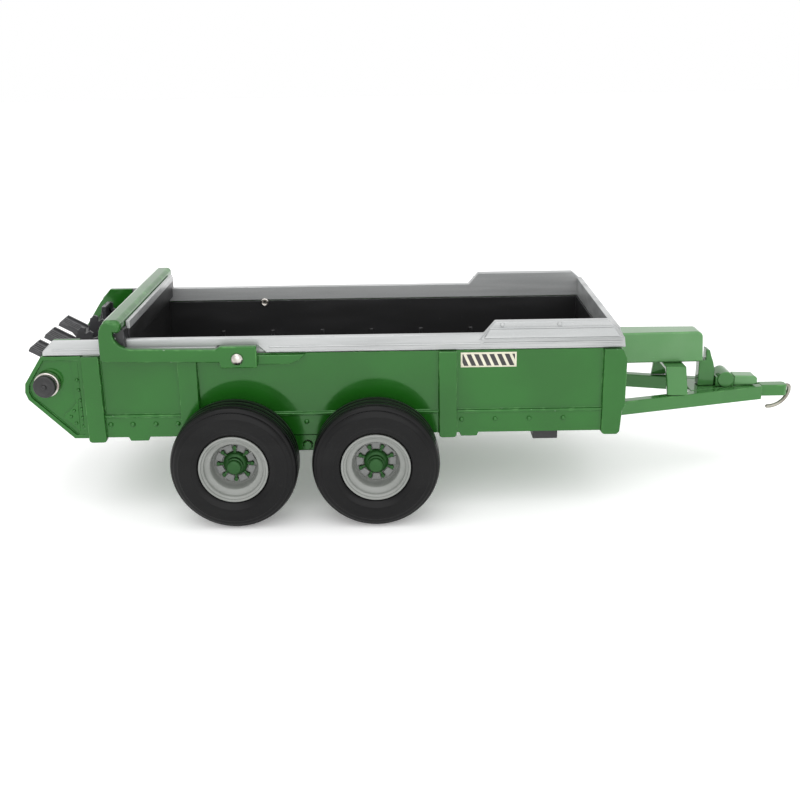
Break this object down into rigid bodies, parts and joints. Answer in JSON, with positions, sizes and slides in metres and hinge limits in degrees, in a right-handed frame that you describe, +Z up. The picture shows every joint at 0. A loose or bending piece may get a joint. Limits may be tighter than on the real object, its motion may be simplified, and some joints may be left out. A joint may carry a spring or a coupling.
{
  "type": "toy manure spreader",
  "caption": "Die-cast toy box spreader with open tub, raised front boards, lifting hoop endgate, rear paddle beater, tandem wheels on a walking beam, and a wire hitch hook.",
  "frame": {"origin": "on the ground under the middle of the bounding box", "axes": "+X towards the hitch, +Y to the spreader's left, +Z up"},
  "size_m": [0.412, 0.172, 0.1042],
  "materials": {
    "green_paint": "glossy enamel over die-cast metal",
    "silver_paint": "satin silver paint",
    "black_plastic": "satin moulded black plastic",
    "tyre_rubber": "matt black rubber",
    "rim_paint": "warm light grey paint on a moulded rim",
    "bright_steel": "bright nickel-plated steel",
    "hook_steel": "bare steel wire"
  },
  "bodies": {
    "frame": {"beater_bearing_left": "bright_steel", "beater_bearing_right": "bright_steel", "bogie_hanger_left": "green_paint", "bogie_hanger_right": "green_paint", "cross_member_front": "green_paint", "cross_member_rear": "green_paint", "driveline_guard": "green_paint", "driveline_hood": "green_paint", "end_plate_left": "green_paint", "end_plate_right": "green_paint", "floor_pan": "green_paint", "front_wall": "green_paint", "gate_rivet_left": "bright_steel", "gate_rivet_right": "bright_steel", "gearbox": "green_paint", "hitch_hook": "hook_steel", "hitch_post": "green_paint", "hood_stand": "green_paint", "pivot_bolt_left": "green_paint", "pivot_bolt_right": "green_paint", "pivot_shaft": "bright_steel", "side_left": "green_paint", "side_right": "green_paint", "tongue_beam_left": "green_paint", "tongue_beam_right": "green_paint", "tongue_deck": "green_paint", "tongue_tip": "green_paint", "top_rail": "silver_paint", "tub_latch_left": "black_plastic", "tub_latch_right": "black_plastic", "tub_liner": "black_plastic"},
    "gate": {"gate_frame": "green_paint", "gate_panel": "black_plastic", "gate_lip": "silver_paint"},
    "beater": {"beater_rotor": "black_plastic", "beater_shaft": "bright_steel", "beater_knob_right": "black_plastic", "beater_knob_left": "black_plastic"},
    "bogie": {"bogie_beam_right": "green_paint", "bogie_beam_left": "green_paint", "axle_rear": "bright_steel", "axle_front": "bright_steel"},
    "wheel_rear_right": {"tyre_rear_right": "tyre_rubber", "rim_rear_right": "rim_paint", "hub_rear_right": "green_paint"},
    "wheel_rear_left": {"tyre_rear_left": "tyre_rubber", "rim_rear_left": "rim_paint", "hub_rear_left": "green_paint"},
    "wheel_front_right": {"tyre_front_right": "tyre_rubber", "rim_front_right": "rim_paint", "hub_front_right": "green_paint"},
    "wheel_front_left": {"tyre_front_left": "tyre_rubber", "rim_front_left": "rim_paint", "hub_front_left": "green_paint"}
  },
  "joints": [
    {"name": "gate_lift", "type": "hinge", "parent": "frame", "child": "gate", "pos_m": [-0.096, 0, 0.0838], "axis": [0, 1, 0], "range_deg": [0, 40]},
    {"name": "beater_spin", "type": "hinge", "parent": "frame", "child": "beater", "pos_m": [-0.1935, 0, 0.0705], "axis": [0, 1, 0], "continuous": true},
    {"name": "bogie_tilt", "type": "hinge", "parent": "frame", "child": "bogie", "pos_m": [-0.0633, 0, 0.0355], "axis": [0, 1, 0], "range_deg": [-6, 6]},
    {"name": "wheel_rear_right_spin", "type": "hinge", "parent": "bogie", "child": "wheel_rear_right", "pos_m": [-0.0987, -0.07475, 0.032], "axis": [0, 1, 0], "continuous": true},
    {"name": "wheel_rear_left_spin", "type": "hinge", "parent": "bogie", "child": "wheel_rear_left", "pos_m": [-0.0987, 0.07475, 0.032], "axis": [0, 1, 0], "continuous": true},
    {"name": "wheel_front_right_spin", "type": "hinge", "parent": "bogie", "child": "wheel_front_right", "pos_m": [-0.0279, -0.07475, 0.032], "axis": [0, 1, 0], "continuous": true},
    {"name": "wheel_front_left_spin", "type": "hinge", "parent": "bogie", "child": "wheel_front_left", "pos_m": [-0.0279, 0.07475, 0.032], "axis": [0, 1, 0], "continuous": true}
  ]
}
